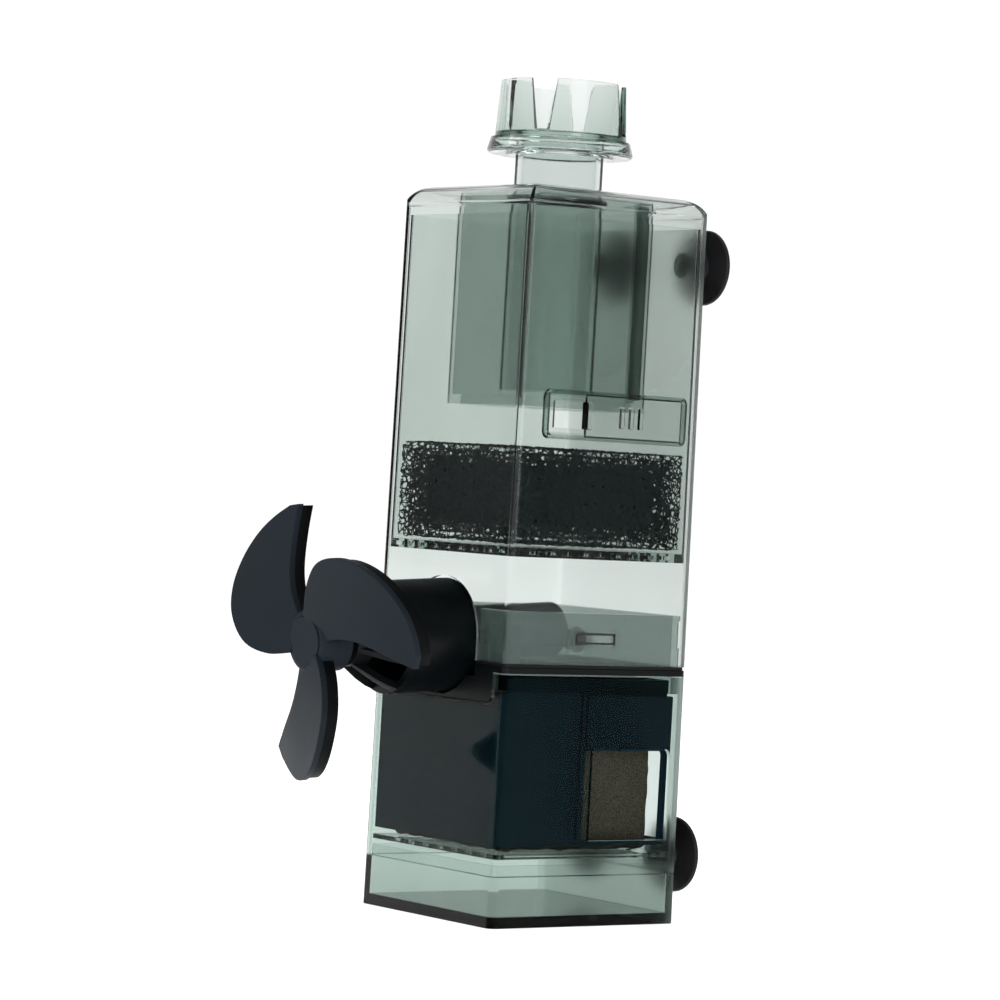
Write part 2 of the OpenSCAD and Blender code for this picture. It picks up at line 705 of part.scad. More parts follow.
module suction_cup(x, z) {
    stem = 3.4;
    color(black) translate([x, half_y(z) + 0.6, z]) rotate([-90, 0, 0]) rotate_extrude($fn = 96)
        polygon([[0, 0], [stem_r - 0.05, 0], [stem_r - 0.05, stem], [6.2, stem + 0.2], [6.4, stem + 2], [9, stem + 3.4],
                 [cup_r - 0.4, cup_reach - 2], [cup_r, cup_reach - 1], [cup_r - 0.3, cup_reach - 0.6],
                 [9, cup_reach - 1.8], [5, cup_reach - 3.2], [0, cup_reach - 3.8]]);
}

module suction_cup_upper_left() { suction_cup(-cup_x, cup_top_z); }
module suction_cup_upper_right() { suction_cup(cup_x, cup_top_z); }
module suction_cup_lower_left() { suction_cup(-cup_x, cup_low_z); }
module suction_cup_lower_right() { suction_cup(cup_x, cup_low_z); }

lower_casing();
strainer_basket();
strainer_floor();
lower_sponge();
intake_gate();
bottom_tray();
motor_carrier();
carrier_seal();
cable_gland();
latch_left();
latch_right();
outer_sleeve();
skimmer_chamber();
shutter_frame();
flow_shutter();
tube_seal();
media_basket();
basket_grille();
upper_sponge();
skimmer_tube();
skimmer_collar();
skimmer_crown();
outlet_duct();
duct_guard();
motor_can();
can_cap();
rotor_sleeve();
stator_core();
stator_coils();
rear_bush();
front_bush();
rotor_magnet();
rotor_shaft();
propeller();
propeller_cap();
suction_cup_upper_left();
suction_cup_upper_right();
suction_cup_lower_left();
suction_cup_lower_right();
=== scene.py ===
import json
import math

import bmesh
import bpy
from mathutils import Matrix, Vector
from mathutils import noise as field

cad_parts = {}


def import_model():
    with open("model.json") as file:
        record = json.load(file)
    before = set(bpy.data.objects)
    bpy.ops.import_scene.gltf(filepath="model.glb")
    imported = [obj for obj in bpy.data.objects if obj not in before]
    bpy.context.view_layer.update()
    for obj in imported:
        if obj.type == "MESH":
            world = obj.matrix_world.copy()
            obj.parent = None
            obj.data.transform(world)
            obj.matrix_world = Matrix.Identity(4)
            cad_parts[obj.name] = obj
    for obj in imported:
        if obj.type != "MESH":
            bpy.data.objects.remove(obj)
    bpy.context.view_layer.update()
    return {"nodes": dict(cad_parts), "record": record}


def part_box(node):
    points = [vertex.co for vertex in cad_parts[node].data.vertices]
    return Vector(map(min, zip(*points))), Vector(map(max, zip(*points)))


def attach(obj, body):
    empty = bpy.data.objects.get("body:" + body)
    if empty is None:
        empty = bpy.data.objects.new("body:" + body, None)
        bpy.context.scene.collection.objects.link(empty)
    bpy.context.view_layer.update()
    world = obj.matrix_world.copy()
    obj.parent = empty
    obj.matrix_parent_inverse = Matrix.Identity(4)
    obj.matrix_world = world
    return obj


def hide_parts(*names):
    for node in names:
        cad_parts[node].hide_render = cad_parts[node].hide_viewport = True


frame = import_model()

MM = 0.001
BODY_OF = {node: body for body, nodes in frame["record"]["behaviour"]["bodies"].items() for node in nodes}
SLOT_OF = {s["node"]: s["material_slot"] for s in frame["record"]["subparts"]}


# ---------------------------------------------------------------- materials

MATS = {}


def new_material(name):
    """Adds an empty node material with its output to MATS; returns its nodes, its links and the output."""
    mat = bpy.data.materials.new(name)
    MATS[name] = mat
    mat.use_nodes = True
    nodes = mat.node_tree.nodes
    nodes.clear()
    out = nodes.new("ShaderNodeOutputMaterial")
    out.location = (600, 0)
    return nodes, mat.node_tree.links, out


def noise(nodes, links, scale, detail=3.0, rough=0.55, stretch=(1, 1, 1)):
    """A noise texture in the object's own coordinates."""
    coord = nodes.new("ShaderNodeTexCoord")
    mapping = nodes.new("ShaderNodeMapping")
    mapping.inputs["Scale"].default_value = stretch
    links.new(coord.outputs["Object"], mapping.inputs["Vector"])
    tex = nodes.new("ShaderNodeTexNoise")
    tex.inputs["Scale"].default_value = scale
    tex.inputs["Detail"].default_value = detail
    tex.inputs["Roughness"].default_value = rough
    links.new(mapping.outputs["Vector"], tex.inputs["Vector"])
    return tex.outputs["Fac"]


def ramp(nodes, links, source, low, high, start=0.3, end=0.7):
    """source mapped to colours from low to high."""
    node = nodes.new("ShaderNodeValToRGB")
    node.color_ramp.elements[0].position = start
    node.color_ramp.elements[0].color = (*low, 1)
    node.color_ramp.elements[1].position = end
    node.color_ramp.elements[1].color = (*high, 1)
    links.new(source, node.inputs["Fac"])
    return node.outputs["Color"]


def spread(nodes, links, source, low, high):
    """source, from 0.25 to 0.75, mapped to the range low to high."""
    node = nodes.new("ShaderNodeMapRange")
    node.inputs["From Min"].default_value = 0.25
    node.inputs["From Max"].default_value = 0.75
    node.inputs["To Min"].default_value = low
    node.inputs["To Max"].default_value = high
    links.new(source, node.inputs["Value"])
    return node.outputs["Result"]


def bump(nodes, links, source, strength, distance):
    node = nodes.new("ShaderNodeBump")
    node.inputs["Strength"].default_value = strength
    node.inputs["Distance"].default_value = distance
    links.new(source, node.inputs["Height"])
    return node.outputs["Normal"]


def moulded(name, dark, light, rough, grain=2200, metallic=0.0, level=0.5, stretch=(1, 1, 1)):
    """An opaque moulded or machined surface with slight colour, gloss and grain variation."""
    grain_depth = 0.00006
    nodes, links, out = new_material(name)
    shader = nodes.new("ShaderNodeBsdfPrincipled")
    shader.inputs["Metallic"].default_value = metallic
    shader.inputs["Specular IOR Level"].default_value = level
    broad = noise(nodes, links, 38, 4)
    fine = noise(nodes, links, grain, 2, stretch=stretch)
    links.new(ramp(nodes, links, broad, dark, light), shader.inputs["Base Color"])
    links.new(spread(nodes, links, broad, *rough), shader.inputs["Roughness"])
    links.new(bump(nodes, links, fine, 0.35, grain_depth), shader.inputs["Normal"])
    links.new(shader.outputs[0], out.inputs["Surface"])


def clear(name, tint, absorb, density, rough=(0.0, 0.05), shine=0.3, frost=0.0, ior=1.49):
    """Clear plastic with real wall thickness: it bends light and darkens where light runs along the wall.

    frost is how much rougher the back wall is, so that what lies behind it only shows as a blur.
    """
    wave_depth = 0.00002
    back_wall_y = (0.0350, 0.0362)
    nodes, links, out = new_material(name)
    shader = nodes.new("ShaderNodeBsdfPrincipled")
    shader.inputs["Transmission Weight"].default_value = 1.0
    shader.inputs["IOR"].default_value = ior
    shader.inputs["Specular Tint"].default_value = (shine, shine, shine, 1)
    broad = noise(nodes, links, 24, 3, stretch=(1, 1, 0.35))
    links.new(ramp(nodes, links, broad, [0.95 * c for c in tint], tint), shader.inputs["Base Color"])
    if frost:
        place = nodes.new("ShaderNodeSeparateXYZ")
        coord = nodes.new("ShaderNodeTexCoord")
        links.new(coord.outputs["Object"], place.inputs[0])
        behind = nodes.new("ShaderNodeMapRange")
        behind.inputs["From Min"].default_value = back_wall_y[0]
        behind.inputs["From Max"].default_value = back_wall_y[1]
        behind.inputs["To Max"].default_value = frost
        links.new(place.outputs["Y"], behind.inputs["Value"])
        both = nodes.new("ShaderNodeMath")
        both.operation = "ADD"
        links.new(spread(nodes, links, broad, *rough), both.inputs[0])
        links.new(behind.outputs["Result"], both.inputs[1])
        links.new(both.outputs[0], shader.inputs["Roughness"])
    else:
        links.new(spread(nodes, links, broad, *rough), shader.inputs["Roughness"])
    links.new(bump(nodes, links, broad, 0.15, wave_depth), shader.inputs["Normal"])
    links.new(shader.outputs[0], out.inputs["Surface"])
    volume = nodes.new("ShaderNodeVolumeAbsorption")
    volume.inputs["Color"].default_value = (*absorb, 1)
    volume.inputs["Density"].default_value = density
    links.new(volume.outputs[0], out.inputs["Volume"])


def veil(name, light, edge, haze=(0.3, 0.34, 0.33), haze_share=0.1, gloss=1.2):
    """A thin smoky wall: light goes straight through, less of it where the wall is seen along its length."""
    nodes, links, out = new_material(name)
    broad = noise(nodes, links, 20, 3, stretch=(1, 1, 0.3))
    through = nodes.new("ShaderNodeBsdfTransparent")
    facing = nodes.new("ShaderNodeLayerWeight")
    facing.inputs["Blend"].default_value = 0.5
    body = ramp(nodes, links, broad, [0.95 * c for c in light], light)
    fade = nodes.new("ShaderNodeMapRange")
    fade.interpolation_type = "SMOOTHSTEP"
    fade.inputs["From Min"].default_value = 0.45
    fade.inputs["From Max"].default_value = 0.95
    links.new(facing.outputs["Facing"], fade.inputs["Value"])
    tone = nodes.new("ShaderNodeMix")
    tone.data_type = "RGBA"
    links.new(fade.outputs["Result"], tone.inputs["Factor"])
    links.new(body, tone.inputs["A"])
    tone.inputs["B"].default_value = (*edge, 1)
    links.new(tone.outputs["Result"], through.inputs["Color"])
    film = nodes.new("ShaderNodeBsdfDiffuse")
    links.new(ramp(nodes, links, broad, [0.8 * c for c in haze], haze), film.inputs["Color"])
    mixed = nodes.new("ShaderNodeMixShader")
    mixed.inputs["Fac"].default_value = haze_share
    links.new(through.outputs[0], mixed.inputs[1])
    links.new(film.outputs[0], mixed.inputs[2])
    shine = nodes.new("ShaderNodeBsdfGlossy")
    shine.inputs["Color"].default_value = (0.9, 0.93, 0.92, 1)
    shine.inputs["Roughness"].default_value = 0.08
    rim = nodes.new("ShaderNodeFresnel")
    rim.inputs["IOR"].default_value = gloss
    final = nodes.new("ShaderNodeMixShader")
    links.new(rim.outputs[0], final.inputs["Fac"])
    links.new(mixed.outputs[0], final.inputs[1])
    links.new(shine.outputs[0], final.inputs[2])
    links.new(final.outputs[0], out.inputs["Surface"])


def foam(name, dark, light, cell, holes=None, depth=0.0006):
    """Open-cell foam: cells as bump, and as colour with painted shade darkening each cell from its light
    strands to its dark middle; with holes, real gaps between the strands.
    """
    nodes, links, out = new_material(name)
    coord = nodes.new("ShaderNodeTexCoord")
    warp = nodes.new("ShaderNodeTexNoise")
    warp.inputs["Scale"].default_value = 0.4 / cell
    links.new(coord.outputs["Object"], warp.inputs["Vector"])
    shift = nodes.new("ShaderNodeVectorMath")
    shift.operation = "MULTIPLY_ADD"
    shift.inputs[1].default_value = (cell, cell, cell)
    links.new(warp.outputs["Color"], shift.inputs[0])
    links.new(coord.outputs["Object"], shift.inputs[2])
    cells = nodes.new("ShaderNodeTexVoronoi")
    cells.feature = "DISTANCE_TO_EDGE"
    cells.inputs["Scale"].default_value = 1 / cell
    links.new(shift.outputs[0], cells.inputs["Vector"])
    edge = cells.outputs["Distance"]
    shader = nodes.new("ShaderNodeBsdfPrincipled")
    shader.inputs["Roughness"].default_value = 0.85
    shader.inputs["Specular IOR Level"].default_value = 0.3
    # painted shade: dark in the middle of each cell, as shade down in the pores, light on the strands at the
    # cell edges
    links.new(ramp(nodes, links, edge, light, dark, 0.03, 0.28), shader.inputs["Base Color"])
    flip = nodes.new("ShaderNodeMath")
    flip.operation = "SUBTRACT"
    flip.inputs[0].default_value = 1.0
    links.new(edge, flip.inputs[1])
    links.new(bump(nodes, links, flip.outputs[0], 0.9, depth), shader.inputs["Normal"])
    if holes:
        cut = nodes.new("ShaderNodeMath")
        cut.operation = "LESS_THAN"
        cut.inputs[1].default_value = holes
        links.new(edge, cut.inputs[0])
        links.new(cut.outputs[0], shader.inputs["Alpha"])
    links.new(shader.outputs[0], out.inputs["Surface"])


# clear: surface tint, then colour and strength of the absorption
# veil: colour through the wall, at its edge and of its haze
# moulded: darkest and lightest colour; foam: darkest colour, painted shade in the middles of the cells, and
# lightest colour, of the strands
HOOD_TINT, HOOD_ABSORB = (0.95, 0.97, 0.96), (0.26, 0.42, 0.35)
CASING_ABSORB = (0.20, 0.36, 0.30)
CASING_ROUGH = (0.02, 0.06)

clear("smoky_clear", HOOD_TINT, HOOD_ABSORB, 72, rough=CASING_ROUGH, frost=0.36)
clear("frame_smoke", (0.9, 0.93, 0.92), HOOD_ABSORB, 420)
clear("crown_clear", HOOD_TINT, HOOD_ABSORB, 105)
clear("clear_light", (0.97, 0.985, 0.98), (0.35, 0.50, 0.44), 35)
clear("casing_smoke", (0.94, 0.965, 0.955), CASING_ABSORB, 230, rough=CASING_ROUGH, shine=0.02,
      frost=0.45, ior=1.22)
clear("tray_smoke", HOOD_TINT, CASING_ABSORB, 240, rough=CASING_ROUGH, shine=0.1, frost=0.45)
veil("neck_haze", (0.89, 0.93, 0.91), (0.45, 0.51, 0.49), (0.33, 0.43, 0.41), haze_share=0.32)
veil("inner_smoke", (0.87, 0.905, 0.89), (0.36, 0.42, 0.40), haze_share=0.04)
veil("post_smoke", (0.42, 0.47, 0.45), (0.30, 0.35, 0.33), haze_share=0.05)
veil("inner_clear", (0.93, 0.95, 0.945), (0.85, 0.88, 0.87), haze_share=0.03, gloss=1.06)
veil("dark_smoke", (0.02, 0.045, 0.055), (0.01, 0.02, 0.02), (0.014, 0.038, 0.053), haze_share=0.6,
     gloss=1.03)
moulded("black_plastic", (0.0010, 0.0020, 0.0026), (0.0022, 0.0034, 0.0042), (0.30, 0.42), level=0.14)
moulded("propeller_plastic", (0.0090, 0.0138, 0.0182), (0.0120, 0.0178, 0.0236), (0.42, 0.55),
        level=0.08)
# the propeller's own plastic painted darker, as shade on the blades' set-back sides
moulded("propeller_side_painted_shade", (0.0008, 0.0012, 0.0014), (0.002, 0.0026, 0.003), (0.45, 0.6), level=0.08)
moulded("motor_shell", (0.075, 0.095, 0.092), (0.10, 0.125, 0.12), (0.35, 0.5), level=0.2)
moulded("black_rubber", (0.004, 0.004, 0.005), (0.008, 0.008, 0.009), (0.42, 0.55), grain=900, level=0.2)
# foams: the dark colour is painted shade deep in the cells, the light colour is the strands
foam("black_foam", (0.003, 0.007, 0.008), (0.030, 0.050, 0.056), 0.0022)
foam("foam_strands", (0.006, 0.011, 0.012), (0.034, 0.056, 0.061), 0.0024, holes=0.10)
foam("brown_foam", (0.009, 0.010, 0.006), (0.042, 0.040, 0.025), 0.0009, depth=0.0002)
moulded("shaft_steel", (0.55, 0.56, 0.58), (0.7, 0.71, 0.72), (0.2, 0.32), metallic=1.0,
        stretch=(1, 6, 1))
moulded("core_steel", (0.25, 0.26, 0.27), (0.4, 0.41, 0.42), (0.35, 0.5), metallic=1.0,
        stretch=(1, 12, 1))
moulded("copper_wire", (0.45, 0.18, 0.07), (0.62, 0.27, 0.11), (0.25, 0.4), metallic=1.0)
moulded("bush_ceramic", (0.68, 0.68, 0.64), (0.78, 0.78, 0.74), (0.25, 0.4))
moulded("magnet", (0.02, 0.02, 0.022), (0.035, 0.035, 0.037), (0.4, 0.6))


# ---------------------------------------------------------------- pieces

def dress(obj, node, material):
    """Gives a piece its material and the body of the CAD node it belongs to."""
    obj.data.materials.clear()
    obj.data.materials.append(MATS[material])
    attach(obj, BODY_OF[node])


def finish_piece(obj, node, material):
    """The same for a piece that stands for the CAD node."""
    dress(obj, node, material)
    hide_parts(node)


def piece_from(name, bm):
    mesh = bpy.data.meshes.new(name)
    bm.to_mesh(mesh)
    bm.free()
    obj = bpy.data.objects.new(name, mesh)
    bpy.context.scene.collection.objects.link(obj)
    return obj


def apply_modifiers(obj):
    """Replaces obj's mesh by its evaluated mesh, so that no modifier is left."""
    bpy.context.view_layer.update()
    graph = bpy.context.evaluated_depsgraph_get()
    mesh = bpy.data.meshes.new_from_object(obj.evaluated_get(graph))
    obj.modifiers.clear()
    obj.data = mesh


def smooth_by_angle(obj, degrees=35):
    limit = math.radians(degrees)
    mesh = obj.data
    bm = bmesh.new()
    bm.from_mesh(mesh)
    for face in bm.faces:
        face.smooth = True
    for edge in bm.edges:
        if len(edge.link_faces) == 2:
            edge.smooth = edge.calc_face_angle(0) < limit
    bm.to_mesh(mesh)
    bm.free()


def refined(node, width, segments=2, material=None, below=None, above=None, tag="_fine", joined=True):
    """The CAD node's own shape with its flat faces joined and its edges rounded by width.

    below and above keep only the part under or over that height, closed where it is cut.
    A piece whose flat faces go round a hole needs joined=False.
    """
    bm = bmesh.new()
    bm.from_mesh(frame["nodes"][node].data)
    bmesh.ops.remove_doubles(bm, verts=bm.verts, dist=2e-6)
    if below is not None or above is not None:
        geometry = bm.verts[:] + bm.edges[:] + bm.faces[:]
        cut = bmesh.ops.bisect_plane(bm, geom=geometry, plane_co=(0, 0, below or above), plane_no=(0, 0, 1),
                                     clear_outer=below is not None, clear_inner=above is not None)
        rim = [e for e in cut["geom_cut"] if isinstance(e, bmesh.types.BMEdge)]
        bmesh.ops.triangle_fill(bm, use_beauty=True, edges=rim)
        bmesh.ops.recalc_face_normals(bm, faces=bm.faces)
    area = sum(f.calc_area() for f in bm.faces)
    flat = bm.copy()
    bmesh.ops.dissolve_limit(flat, angle_limit=math.radians(0.8), verts=flat.verts, edges=flat.edges)
    check = flat.copy()
    bmesh.ops.triangulate(check, faces=check.faces)
    kept = sum(f.calc_area() for f in check.faces)
    check.free()
    if joined and abs(kept - area) < 0.001 * area:
        bm, flat = flat, bm
    flat.free()
    obj = piece_from(node + tag, bm)
    if width:
        edge = obj.modifiers.new("edge", "BEVEL")
        edge.width = width
        edge.segments = segments
        edge.limit_method = "ANGLE"
        edge.angle_limit = math.radians(38)
        edge.use_clamp_overlap = True
        apply_modifiers(obj)
    smooth_by_angle(obj)
    even = obj.modifiers.new("even", "WEIGHTED_NORMAL")
    even.mode = "FACE_AREA"
    even.weight = 100
    even.keep_sharp = True
    apply_modifiers(obj)
    finish_piece(obj, node, material or SLOT_OF[node])


# How far the edges of each CAD node are rounded, in millimetres
FINE_NODES = {
    "strainer_floor": 0.2, "basket_grille": 0.2, "bottom_tray": 0.4, "strainer_basket": 0.25,
    "intake_gate": 0.2,
    "motor_carrier": 0.4, "carrier_seal": 0.2, "cable_gland": 0.4, "latch_left": 0.2, "latch_right": 0.2,
    "outer_sleeve": 0.35, "shutter_frame": 0.3, "flow_shutter": 0.25, "tube_seal": 0.2, "media_basket": 0.3,
    "skimmer_tube": 0.3, "skimmer_collar": 0.35, "skimmer_crown": 0.3, "skimmer_chamber": 0.3,
    "outlet_duct": 0.5, "duct_guard": 0.35, "motor_can": 0.4, "can_cap": 0.4, "rotor_sleeve": 0.1,
    "stator_core": 0.15, "stator_coils": 0.9, "rear_bush": 0.2, "front_bush": 0.2, "rotor_magnet": 0.4,
    "rotor_shaft": 0.3, "propeller_cap": 0.5,
    "suction_cup_upper_left": 0.3, "suction_cup_upper_right": 0.3,
    "suction_cup_lower_left": 0.3, "suction_cup_lower_right": 0.3,
}

# Nodes that don't look like the other pieces of their slot
OTHER_MATERIAL = {"skimmer_chamber": "inner_smoke", "bottom_tray": "tray_smoke",
                  "skimmer_tube": "inner_clear", "skimmer_collar": "clear_light",
                  "skimmer_crown": "crown_clear", "shutter_frame": "frame_smoke",
                  "motor_can": "motor_shell", "can_cap": "motor_shell"}

for node, width in FINE_NODES.items():
    refined(node, width * MM, material=OTHER_MATERIAL.get(node), joined=node != "shutter_frame")


# The neck of the casing is hazier than the casing itself
NECK_Z = 0.0835
refined("lower_casing", 0.35 * MM, material="casing_smoke", below=NECK_Z)
refined("lower_casing", 0.25 * MM, material="neck_haze", above=NECK_Z, tag="_neck")


def polar(r, turn):
    return r * math.cos(turn), r * math.sin(turn)


# The propeller: a hub and three thick swept blades, each a bevelled front plate on a set-back body; the body
# is the same plastic, painted darker as shade on the blades' sides
# Sizes here are in millimetres in the pod's own frame, whose +Z runs out of the duct
POD_PIVOT, POD_TURN = (0, -0.0328, 0.095), 93.5
POD = Matrix.Translation(POD_PIVOT) @ Matrix.Rotation(math.radians(POD_TURN), 4, "X")
HUB_FRONT, HUB_REAR, HUB_R = 61.4, 48.8, 10.3
FIRST_BLADE, BLADES = 150, 3
TRAIL = [(4.6, -3.2), (14.2, -6.6), (22.6, -12.0), (31.0, -21.0), (37.6, -29.0)]
LEAD = [(4.4, 7.6), (13.1, 13.6), (23.9, 16.3), (34.7, 12.9), (42, 6.0),
        (46, -3), (46.8, -12), (44.8, -19.6), (41.2, -26.2)]
TIP = (36, -20)


def between(a, b, c, d, t):
    """The point a share t of the way from b to c on the smooth curve through a, b, c and d."""
    bend = 2 * a - 5 * b + 4 * c - d
    twist = 3 * b - a - 3 * c + d
    return 0.5 * (2 * b + (c - a) * t + bend * t * t + twist * t ** 3)


def curve_points(points, count):
    """count points spaced evenly along a smooth curve through points."""
    steps = 16
    points = [Vector(p) for p in points]
    ends = [2 * points[0] - points[1]] + points + [2 * points[-1] - points[-2]]
    fine = []
    for a, b, c, d in zip(ends, ends[1:], ends[2:], ends[3:]):
        fine += [between(a, b, c, d, i / steps) for i in range(steps)]
    fine.append(points[-1])
    length = [0.0]
    for p, q in zip(fine, fine[1:]):
        length.append(length[-1] + (q - p).length)
    out, at = [], 0
    for i in range(count):
        want = length[-1] * i / (count - 1)
        while at < len(fine) - 2 and length[at + 1] < want:
            at += 1
        share = (want - length[at]) / (length[at + 1] - length[at])
        out.append(fine[at].lerp(fine[at + 1], min(1, share)))
    return out


def rise(p):
    """How far the blade's face stands before the hub's front at p: the CAD blade's own formula."""
    a, b = (p[0] - 25) / 20, p[1] / 20
    return 0.2 + 0.14 * a + 5.48 * b + 2.28 * a * b + 0.24 * b * b - 0.29 * a * a


def blade(bm, turn, top, depth, inset, rows=40, cols=20):
    """One closed slab of the blade's outline, its front top mm behind the blade's face."""
    trail, lead = curve_points(TRAIL, rows + 1), curve_points(LEAD, rows + 1)
    sides = []
    for back in (0, depth):
        grid = []
        for i in range(rows + 1):
            line = []
            for j in range(cols + 1):
                p = trail[i].lerp(lead[i], j / cols)
                middle = trail[i].lerp(lead[i], 0.5)
                away = middle - p
                p = p + away.normalized() * min(inset, away.length) if away.length > 1e-6 else p
                if i == rows:
                    p = p.lerp(Vector(TIP), inset / 12)
                local = Vector((p[0], p[1], HUB_FRONT + rise(p) - top - back)) * MM
                line.append(bm.verts.new(POD @ (Matrix.Rotation(turn, 3, "Z") @ local)))
            grid.append(line)
        sides.append(grid)
    front, rear = sides
    for i in range(rows):
        for j in range(cols):
            bm.faces.new((front[i][j], front[i + 1][j], front[i + 1][j + 1], front[i][j + 1]))
            bm.faces.new((rear[i][j], rear[i][j + 1], rear[i + 1][j + 1], rear[i + 1][j]))
        bm.faces.new((front[i][0], rear[i][0], rear[i + 1][0], front[i + 1][0]))
        bm.faces.new((front[i][cols], front[i + 1][cols], rear[i + 1][cols], rear[i][cols]))
    for j in range(cols):
        bm.faces.new((front[0][j], front[0][j + 1], rear[0][j + 1], rear[0][j]))
        bm.faces.new((front[rows][j], rear[rows][j], rear[rows][j + 1], front[rows][j + 1]))


def turned(name, profile, segments=96):
    """A closed solid turned round the pod's axis from a profile of (radius, height) in mm."""
    bm = bmesh.new()
    rings = []
    for r, z in profile:
        count = segments if r > 0 else 1
        points = [Vector((*polar(r, math.tau * k / segments), z)) for k in range(count)]
        rings.append([bm.verts.new(POD @ (point * MM)) for point in points])
    for low, high in zip(rings, rings[1:]):
        for k in range(segments):
            n = (k + 1) % segments
            corners = [low[k % len(low)], low[n % len(low)], high[n % len(high)], high[k % len(high)]]
            unique = list(dict.fromkeys(corners))
            if len(unique) > 2:
                bm.faces.new(unique)
    bmesh.ops.recalc_face_normals(bm, faces=bm.faces)
    return piece_from(name, bm)


def rounded_edges(obj, width, segments=3):
    edge = obj.modifiers.new("edge", "BEVEL")
    edge.width = width
    edge.segments = segments
    edge.limit_method = "ANGLE"
    edge.angle_limit = math.radians(50)
    apply_modifiers(obj)
    smooth_by_angle(obj, 60)


def propeller():
    # the set-back slabs take the darker copy of the plastic: painted shade
    for name, top, depth, inset, material in (("propeller_face", 0, 2.3, 0, "propeller_plastic"),
                                              ("propeller_back", 2.2, 4.6, 0.7, "propeller_side_painted_shade")):
        bm = bmesh.new()
        for k in range(BLADES):
            blade(bm, math.radians(FIRST_BLADE + 360 / BLADES * k), top, depth, inset)
        bmesh.ops.remove_doubles(bm, verts=bm.verts, dist=1e-7)
        bmesh.ops.recalc_face_normals(bm, faces=bm.faces)
        obj = piece_from(name, bm)
        rounded_edges(obj, 0.55 * MM)
        finish_piece(obj, "propeller", material)
    hub = turned("propeller_hub", [
        (0, HUB_REAR), (HUB_R - 0.6, HUB_REAR), (HUB_R, HUB_REAR + 0.6), (HUB_R, HUB_FRONT - 0.9),
        (HUB_R - 0.3, HUB_FRONT - 0.3), (HUB_R - 0.9, HUB_FRONT), (HUB_R - 2.1, HUB_FRONT),
        (HUB_R - 2.15, HUB_FRONT - 0.35), (0, HUB_FRONT - 0.35)])
    smooth_by_angle(hub, 40)
    finish_piece(hub, "propeller", "propeller_plastic")


propeller()


def block(low, high, step, round_r):
    """A box of small faces with rounded edges, for foam."""
    bm = bmesh.new()
    size = high - low
    counts = [max(2, round(s / step)) for s in size]
    made = {}

    def vertex(i, j, k):
        key = (i, j, k)
        if key not in made:
            p = Vector(low[a] + size[a] * t / counts[a] for a, t in enumerate(key))
            core = Vector(min(max(p[a], low[a] + round_r), high[a] - round_r) for a in range(3))
            away = p - core
            made[key] = bm.verts.new(core + away.normalized() * round_r if away.length > round_r else p)
        return made[key]

    nx, ny, nz = counts
    for a, (n1, n2, n3) in enumerate(((ny, nz, nx), (nz, nx, ny), (nx, ny, nz))):
        for side in (0, n3):
            for u in range(n1):
                for v in range(n2):
                    quad = []
                    for du, dv in ((0, 0), (1, 0), (1, 1), (0, 1)):
                        idx = [0, 0, 0]
                        idx[(a + 1) % 3], idx[(a + 2) % 3], idx[a] = u + du, v + dv, side
                        quad.append(vertex(*idx))
                    if side == 0:
                        quad.reverse()
                    bm.faces.new(quad)
    return bm


def rough_up(bm, depth, scale, seed):
    """Moves each vertex inwards along its normal by noise, so that the outline is ragged."""
    bm.normal_update()
    offset = Vector((seed * 3.1, seed * 1.7, seed * 0.9))
    for v in bm.verts:
        v.co -= v.normal * depth * (0.5 + 0.5 * field.noise(v.co * scale + offset))


def smooth_all(obj):
    for poly in obj.data.polygons:
        poly.use_smooth = True


def upper_sponge():
    """A dark core in three ragged layers of strands with real gaps."""
    low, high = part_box("upper_sponge")
    inwards = Vector((MM, MM, MM))
    core_inset = 6.5
    bm = block(low + core_inset * inwards, high - core_inset * inwards, 2 * MM, 3 * MM)
    rough_up(bm, 1.5 * MM, 400, 1)
    core = piece_from("upper_sponge_core", bm)
    dress(core, "upper_sponge", "black_foam")
    bm = bmesh.new()
    for seed, inset, step in ((5, 0.2, 0.8), (6, 2.3, 1.6), (7, 4.4, 1.6)):
        layer = block(low + inset * inwards, high - inset * inwards, step * MM, 1.6 * MM)
        rough_up(layer, 1.6 * MM, 700, seed)
        mesh = bpy.data.meshes.new("layer")
        layer.to_mesh(mesh)
        layer.free()
        bm.from_mesh(mesh)
        bpy.data.meshes.remove(mesh)
    obj = piece_from("upper_sponge_strands", bm)
    smooth_all(obj)
    finish_piece(obj, "upper_sponge", "foam_strands")


def lower_sponge():
    low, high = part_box("lower_sponge")
    bm = block(low, high, 1.2 * MM, 2.5 * MM)
    rough_up(bm, 1.2 * MM, 260, 9)
    obj = piece_from("lower_sponge_fine", bm)
    smooth_all(obj)
    finish_piece(obj, "lower_sponge", "brown_foam")


upper_sponge()
lower_sponge()


def chamber_post():
    """The smoky core of the chamber's solid rear post."""
    low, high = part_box("skimmer_chamber")
    near, far = 5.1 * MM, 1.6 * MM                 # the core's sides, in from the chamber's corner
    below = Vector((high.x - near, high.y - near, low.z + 4 * MM))
    above = Vector((high.x - far, high.y - far, high.z - 1 * MM))
    obj = piece_from("chamber_post_core", block(below, above, 3 * MM, 0.8 * MM))
    smooth_by_angle(obj, 60)
    dress(obj, "skimmer_chamber", "post_smoke")


def rounded_outline(half, bottom, top, r, steps=6):
    """Points of a rounded rectangle, as across and up."""
    outline = []
    for i, (side, middle) in enumerate(((1, top - r), (-1, top - r), (-1, bottom + r), (1, bottom + r))):
        for k in range(steps + 1):
            across, up = polar(r, math.radians(90 * i + 90 / steps * k))
            outline.append((side * (half - r) + across, middle + up))
    return outline


